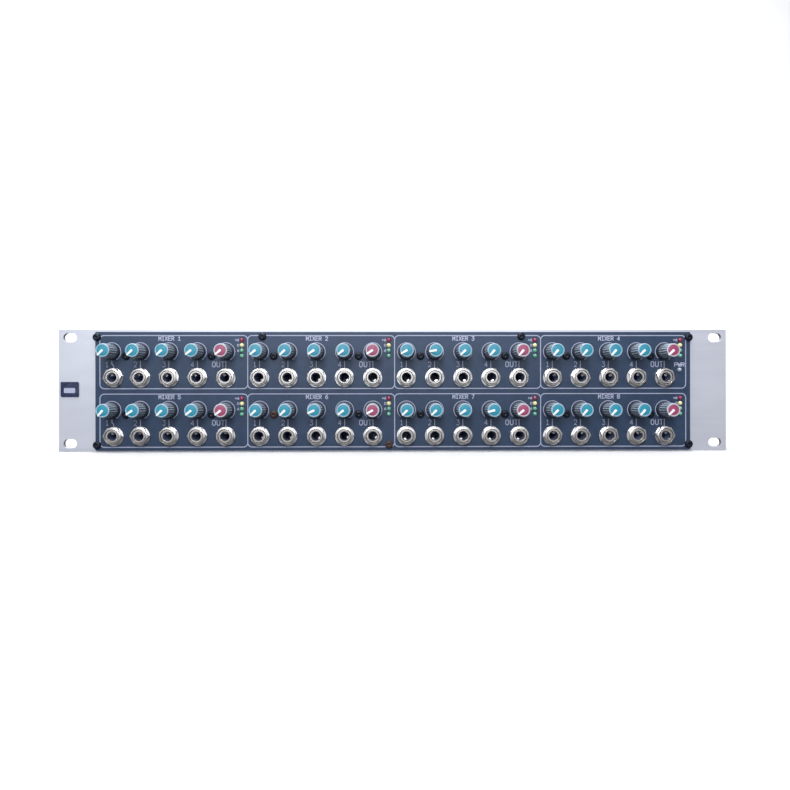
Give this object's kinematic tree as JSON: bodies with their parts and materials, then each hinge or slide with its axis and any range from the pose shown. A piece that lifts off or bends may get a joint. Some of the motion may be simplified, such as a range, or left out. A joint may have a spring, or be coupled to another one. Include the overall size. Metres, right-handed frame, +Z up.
{
  "type": "rack line mixer",
  "caption": "Rack-width unit with rows of small knobs above jack sockets on a dark plate, aluminium ears, shallow steel case behind.",
  "frame": {"origin": "bottom centre of the whole object", "axes": "+X right as seen from the front, +Y to the rear, +Z up; the front panel faces -Y"},
  "size_m": [0.4826, 0.1664, 0.0881],
  "materials": {
    "anodised_aluminium": "satin anodised, fine grain along its length",
    "printed_faceplate": "dark slate solder-mask gloss with pale screen print",
    "badge": null,
    "knob_teal": "grey soft-touch fluted body, teal cap, white pointer",
    "knob_crimson": "grey soft-touch fluted body, crimson cap, white pointer",
    "circuit_board": "green solder mask with soldered parts",
    "black_steel": "fine textured black powder coat",
    "black_plastic": "moulded black plastic",
    "winding": "taped winding",
    "ribbon": "grey ribbon cable"
  },
  "bodies": {
    "root": {"rack_panel": "anodised_aluminium", "faceplate": "printed_faceplate", "ear_badge": "badge", "mixer_board_1": "circuit_board", "mixer_board_2": "circuit_board", "mixer_board_3": "circuit_board", "mixer_board_4": "circuit_board", "mixer_board_5": "circuit_board", "mixer_board_6": "circuit_board", "mixer_board_7": "circuit_board", "mixer_board_8": "circuit_board", "chassis_tray": "black_steel", "top_cover": "black_steel", "rear_panel": "black_steel", "mains_inlet": "black_plastic", "power_switch": "black_plastic", "transformer": "winding", "supply_board": "circuit_board", "supply_harness": "ribbon"},
    "knob_m1_in1": {"knob_m1_in1": "knob_teal"},
    "knob_m1_in2": {"knob_m1_in2": "knob_teal"},
    "knob_m1_in3": {"knob_m1_in3": "knob_teal"},
    "knob_m1_in4": {"knob_m1_in4": "knob_teal"},
    "knob_m1_out": {"knob_m1_out": "knob_crimson"},
    "knob_m2_in1": {"knob_m2_in1": "knob_teal"},
    "knob_m2_in2": {"knob_m2_in2": "knob_teal"},
    "knob_m2_in3": {"knob_m2_in3": "knob_teal"},
    "knob_m2_in4": {"knob_m2_in4": "knob_teal"},
    "knob_m2_out": {"knob_m2_out": "knob_crimson"},
    "knob_m3_in1": {"knob_m3_in1": "knob_teal"},
    "knob_m3_in2": {"knob_m3_in2": "knob_teal"},
    "knob_m3_in3": {"knob_m3_in3": "knob_teal"},
    "knob_m3_in4": {"knob_m3_in4": "knob_teal"},
    "knob_m3_out": {"knob_m3_out": "knob_crimson"},
    "knob_m4_in1": {"knob_m4_in1": "knob_teal"},
    "knob_m4_in2": {"knob_m4_in2": "knob_teal"},
    "knob_m4_in3": {"knob_m4_in3": "knob_teal"},
    "knob_m4_in4": {"knob_m4_in4": "knob_teal"},
    "knob_m4_out": {"knob_m4_out": "knob_crimson"},
    "knob_m5_in1": {"knob_m5_in1": "knob_teal"},
    "knob_m5_in2": {"knob_m5_in2": "knob_teal"},
    "knob_m5_in3": {"knob_m5_in3": "knob_teal"},
    "knob_m5_in4": {"knob_m5_in4": "knob_teal"},
    "knob_m5_out": {"knob_m5_out": "knob_crimson"},
    "knob_m6_in1": {"knob_m6_in1": "knob_teal"},
    "knob_m6_in2": {"knob_m6_in2": "knob_teal"},
    "knob_m6_in3": {"knob_m6_in3": "knob_teal"},
    "knob_m6_in4": {"knob_m6_in4": "knob_teal"},
    "knob_m6_out": {"knob_m6_out": "knob_crimson"},
    "knob_m7_in1": {"knob_m7_in1": "knob_teal"},
    "knob_m7_in2": {"knob_m7_in2": "knob_teal"},
    "knob_m7_in3": {"knob_m7_in3": "knob_teal"},
    "knob_m7_in4": {"knob_m7_in4": "knob_teal"},
    "knob_m7_out": {"knob_m7_out": "knob_crimson"},
    "knob_m8_in1": {"knob_m8_in1": "knob_teal"},
    "knob_m8_in2": {"knob_m8_in2": "knob_teal"},
    "knob_m8_in3": {"knob_m8_in3": "knob_teal"},
    "knob_m8_in4": {"knob_m8_in4": "knob_teal"},
    "knob_m8_out": {"knob_m8_out": "knob_crimson"},
    "power_rocker": {"power_rocker": "black_plastic"}
  },
  "joints": [
    {"name": "turn_m1_in1", "type": "hinge", "parent": "root", "child": "knob_m1_in1", "pos_m": [-0.20234, -0.07537, 0.07186], "axis": [0, 1, 0], "range_deg": [-5, 275]},
    {"name": "turn_m1_in2", "type": "hinge", "parent": "root", "child": "knob_m1_in2", "pos_m": [-0.18202, -0.07537, 0.07186], "axis": [0, 1, 0], "range_deg": [-5, 275]},
    {"name": "turn_m1_in3", "type": "hinge", "parent": "root", "child": "knob_m1_in3", "pos_m": [-0.1617, -0.07537, 0.07186], "axis": [0, 1, 0], "range_deg": [-5, 275]},
    {"name": "turn_m1_in4", "type": "hinge", "parent": "root", "child": "knob_m1_in4", "pos_m": [-0.14138, -0.07537, 0.07186], "axis": [0, 1, 0], "range_deg": [-10, 270]},
    {"name": "turn_m1_out", "type": "hinge", "parent": "root", "child": "knob_m1_out", "pos_m": [-0.12106, -0.07537, 0.07186], "axis": [0, 1, 0], "range_deg": [-10, 270]},
    {"name": "turn_m2_in1", "type": "hinge", "parent": "root", "child": "knob_m2_in1", "pos_m": [-0.09693, -0.07537, 0.07186], "axis": [0, 1, 0], "range_deg": [-10, 270]},
    {"name": "turn_m2_in2", "type": "hinge", "parent": "root", "child": "knob_m2_in2", "pos_m": [-0.07661, -0.07537, 0.07186], "axis": [0, 1, 0], "range_deg": [-5, 275]},
    {"name": "turn_m2_in3", "type": "hinge", "parent": "root", "child": "knob_m2_in3", "pos_m": [-0.05629, -0.07537, 0.07186], "axis": [0, 1, 0], "range_deg": [-15, 265]},
    {"name": "turn_m2_in4", "type": "hinge", "parent": "root", "child": "knob_m2_in4", "pos_m": [-0.03597, -0.07537, 0.07186], "axis": [0, 1, 0], "range_deg": [-10, 270]},
    {"name": "turn_m2_out", "type": "hinge", "parent": "root", "child": "knob_m2_out", "pos_m": [-0.01565, -0.07537, 0.07186], "axis": [0, 1, 0], "range_deg": [-15, 265]},
    {"name": "turn_m3_in1", "type": "hinge", "parent": "root", "child": "knob_m3_in1", "pos_m": [0.00848, -0.07537, 0.07186], "axis": [0, 1, 0], "range_deg": [-20, 260]},
    {"name": "turn_m3_in2", "type": "hinge", "parent": "root", "child": "knob_m3_in2", "pos_m": [0.0288, -0.07537, 0.07186], "axis": [0, 1, 0], "range_deg": [-40, 240]},
    {"name": "turn_m3_in3", "type": "hinge", "parent": "root", "child": "knob_m3_in3", "pos_m": [0.04912, -0.07537, 0.07186], "axis": [0, 1, 0], "range_deg": [-5, 275]},
    {"name": "turn_m3_in4", "type": "hinge", "parent": "root", "child": "knob_m3_in4", "pos_m": [0.06944, -0.07537, 0.07186], "axis": [0, 1, 0], "range_deg": [0, 280]},
    {"name": "turn_m3_out", "type": "hinge", "parent": "root", "child": "knob_m3_out", "pos_m": [0.08976, -0.07537, 0.07186], "axis": [0, 1, 0], "range_deg": [0, 280]},
    {"name": "turn_m4_in1", "type": "hinge", "parent": "root", "child": "knob_m4_in1", "pos_m": [0.11389, -0.07537, 0.07186], "axis": [0, 1, 0], "range_deg": [0, 280]},
    {"name": "turn_m4_in2", "type": "hinge", "parent": "root", "child": "knob_m4_in2", "pos_m": [0.13421, -0.07537, 0.07186], "axis": [0, 1, 0], "range_deg": [0, 280]},
    {"name": "turn_m4_in3", "type": "hinge", "parent": "root", "child": "knob_m4_in3", "pos_m": [0.15453, -0.07537, 0.07186], "axis": [0, 1, 0], "range_deg": [0, 280]},
    {"name": "turn_m4_in4", "type": "hinge", "parent": "root", "child": "knob_m4_in4", "pos_m": [0.17485, -0.07537, 0.07186], "axis": [0, 1, 0], "range_deg": [-5, 275]},
    {"name": "turn_m4_out", "type": "hinge", "parent": "root", "child": "knob_m4_out", "pos_m": [0.19517, -0.07537, 0.07186], "axis": [0, 1, 0], "range_deg": [-5, 275]},
    {"name": "turn_m5_in1", "type": "hinge", "parent": "root", "child": "knob_m5_in1", "pos_m": [-0.20234, -0.07537, 0.02994], "axis": [0, 1, 0], "range_deg": [0, 280]},
    {"name": "turn_m5_in2", "type": "hinge", "parent": "root", "child": "knob_m5_in2", "pos_m": [-0.18202, -0.07537, 0.02994], "axis": [0, 1, 0], "range_deg": [-15, 265]},
    {"name": "turn_m5_in3", "type": "hinge", "parent": "root", "child": "knob_m5_in3", "pos_m": [-0.1617, -0.07537, 0.02994], "axis": [0, 1, 0], "range_deg": [-5, 275]},
    {"name": "turn_m5_in4", "type": "hinge", "parent": "root", "child": "knob_m5_in4", "pos_m": [-0.14138, -0.07537, 0.02994], "axis": [0, 1, 0], "range_deg": [-10, 270]},
    {"name": "turn_m5_out", "type": "hinge", "parent": "root", "child": "knob_m5_out", "pos_m": [-0.12106, -0.07537, 0.02994], "axis": [0, 1, 0], "range_deg": [-10, 270]},
    {"name": "turn_m6_in1", "type": "hinge", "parent": "root", "child": "knob_m6_in1", "pos_m": [-0.09693, -0.07537, 0.02994], "axis": [0, 1, 0], "range_deg": [-5, 275]},
    {"name": "turn_m6_in2", "type": "hinge", "parent": "root", "child": "knob_m6_in2", "pos_m": [-0.07661, -0.07537, 0.02994], "axis": [0, 1, 0], "range_deg": [-5, 275]},
    {"name": "turn_m6_in3", "type": "hinge", "parent": "root", "child": "knob_m6_in3", "pos_m": [-0.05629, -0.07537, 0.02994], "axis": [0, 1, 0], "range_deg": [-25, 255]},
    {"name": "turn_m6_in4", "type": "hinge", "parent": "root", "child": "knob_m6_in4", "pos_m": [-0.03597, -0.07537, 0.02994], "axis": [0, 1, 0], "range_deg": [-10, 270]},
    {"name": "turn_m6_out", "type": "hinge", "parent": "root", "child": "knob_m6_out", "pos_m": [-0.01565, -0.07537, 0.02994], "axis": [0, 1, 0], "range_deg": [-20, 260]},
    {"name": "turn_m7_in1", "type": "hinge", "parent": "root", "child": "knob_m7_in1", "pos_m": [0.00848, -0.07537, 0.02994], "axis": [0, 1, 0], "range_deg": [-5, 275]},
    {"name": "turn_m7_in2", "type": "hinge", "parent": "root", "child": "knob_m7_in2", "pos_m": [0.0288, -0.07537, 0.02994], "axis": [0, 1, 0], "range_deg": [-5, 275]},
    {"name": "turn_m7_in3", "type": "hinge", "parent": "root", "child": "knob_m7_in3", "pos_m": [0.04912, -0.07537, 0.02994], "axis": [0, 1, 0], "range_deg": [-15, 265]},
    {"name": "turn_m7_in4", "type": "hinge", "parent": "root", "child": "knob_m7_in4", "pos_m": [0.06944, -0.07537, 0.02994], "axis": [0, 1, 0], "range_deg": [-35, 245]},
    {"name": "turn_m7_out", "type": "hinge", "parent": "root", "child": "knob_m7_out", "pos_m": [0.08976, -0.07537, 0.02994], "axis": [0, 1, 0], "range_deg": [-10, 270]},
    {"name": "turn_m8_in1", "type": "hinge", "parent": "root", "child": "knob_m8_in1", "pos_m": [0.11389, -0.07537, 0.02994], "axis": [0, 1, 0], "range_deg": [-5, 275]},
    {"name": "turn_m8_in2", "type": "hinge", "parent": "root", "child": "knob_m8_in2", "pos_m": [0.13421, -0.07537, 0.02994], "axis": [0, 1, 0], "range_deg": [0, 280]},
    {"name": "turn_m8_in3", "type": "hinge", "parent": "root", "child": "knob_m8_in3", "pos_m": [0.15453, -0.07537, 0.02994], "axis": [0, 1, 0], "range_deg": [0, 280]},
    {"name": "turn_m8_in4", "type": "hinge", "parent": "root", "child": "knob_m8_in4", "pos_m": [0.17485, -0.07537, 0.02994], "axis": [0, 1, 0], "range_deg": [0, 280]},
    {"name": "turn_m8_out", "type": "hinge", "parent": "root", "child": "knob_m8_out", "pos_m": [0.19517, -0.07537, 0.02994], "axis": [0, 1, 0], "range_deg": [-5, 275]},
    {"name": "power_rocker_tilt", "type": "hinge", "parent": "root", "child": "power_rocker", "pos_m": [0.148, 0.07913, 0.044], "axis": [1, 0, 0], "range_deg": [-20, 0]}
  ]
}
